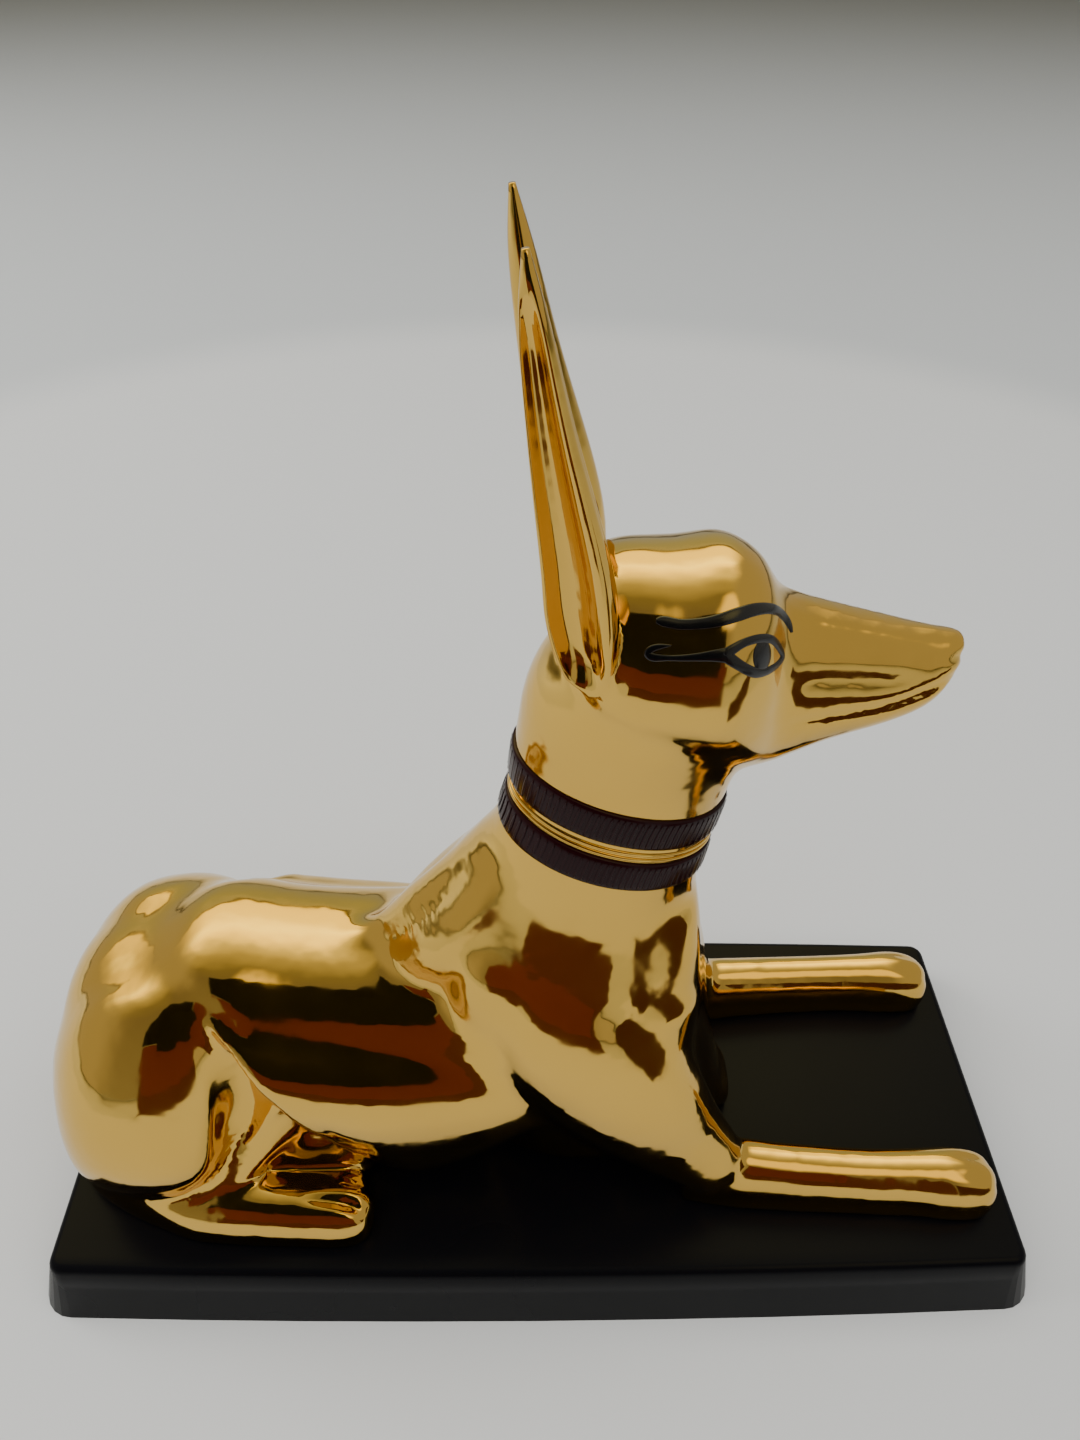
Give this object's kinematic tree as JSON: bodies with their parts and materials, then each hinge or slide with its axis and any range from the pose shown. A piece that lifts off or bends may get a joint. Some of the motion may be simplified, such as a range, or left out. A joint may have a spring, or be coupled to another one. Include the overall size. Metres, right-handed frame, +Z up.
{
  "type": "jackal figure",
  "caption": "Recumbent Anubis jackal in mirror-bright gilt, ears upright and paws stretched forward, with dark collar bands, on a black rectangular plinth.",
  "frame": {"origin": "middle of the plinth's underside, on the surface it stands on", "axes": "+X from the rump towards the nose and paws, +Y towards the figure's left side, +Z up"},
  "size_m": [0.1526, 0.0672, 0.1495],
  "materials": {
    "gilt casting": "mirror-bright gold lustre over a cast body",
    "black satin": "smooth black satin lacquer"
  },
  "bodies": {
    "root": {"jackal": "gilt casting", "plinth": "black satin"}
  },
  "joints": []
}
